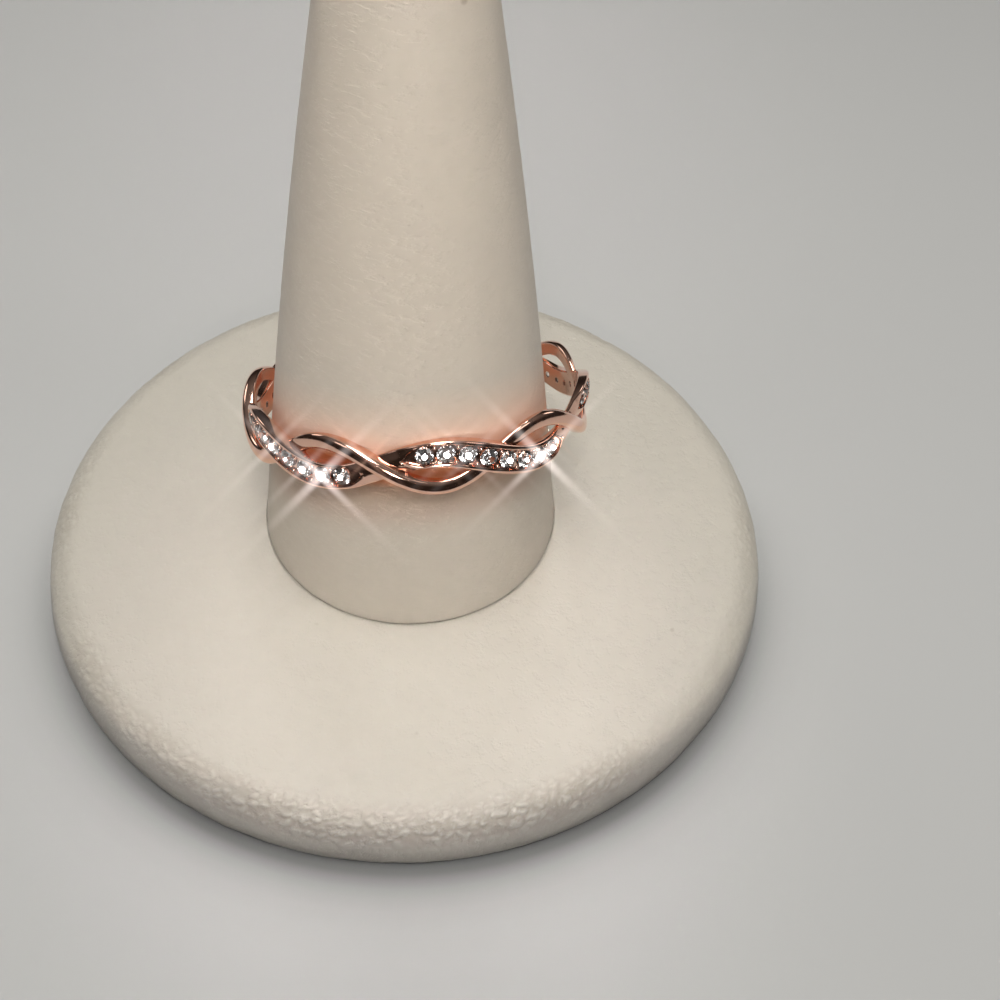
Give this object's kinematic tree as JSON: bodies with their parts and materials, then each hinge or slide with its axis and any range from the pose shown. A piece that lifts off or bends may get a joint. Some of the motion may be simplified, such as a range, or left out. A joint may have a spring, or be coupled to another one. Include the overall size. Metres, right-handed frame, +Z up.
{
  "type": "twist ring on cone stand",
  "caption": "Finger ring of two intertwined strands, one polished and one set with round stones, hanging tilted on a covered cone stand with a round base.",
  "frame": {"origin": "middle of the base's underside, where the stand rests", "axes": "+Z up along the cone's axis, -Y towards the front of the ring, +X to the right"},
  "size_m": [0.0461, 0.046, 0.05],
  "materials": {
    "leatherette": "cream leatherette with a fine pebbled grain, satin",
    "rose_gold": "rose gold, polished",
    "crystal": "clear faceted stones, polished"
  },
  "bodies": {
    "root": {"stand_base": "leatherette", "stand_cone": "leatherette", "twist_band": "rose_gold", "stone_01": "crystal", "stone_02": "crystal", "stone_03": "crystal", "stone_04": "crystal", "stone_05": "crystal", "stone_06": "crystal", "stone_07": "crystal", "stone_08": "crystal", "stone_09": "crystal", "stone_10": "crystal", "stone_11": "crystal", "stone_12": "crystal", "stone_13": "crystal", "stone_14": "crystal", "stone_15": "crystal", "stone_16": "crystal", "stone_17": "crystal", "stone_18": "crystal", "stone_19": "crystal", "stone_20": "crystal", "stone_21": "crystal", "stone_22": "crystal", "stone_23": "crystal", "stone_24": "crystal", "stone_25": "crystal", "stone_26": "crystal", "stone_27": "crystal", "stone_28": "crystal", "stone_29": "crystal", "stone_30": "crystal", "stone_31": "crystal", "stone_32": "crystal", "stone_33": "crystal", "stone_34": "crystal", "stone_35": "crystal", "stone_36": "crystal", "stone_37": "crystal", "stone_38": "crystal", "stone_39": "crystal", "stone_40": "crystal"}
  },
  "joints": []
}
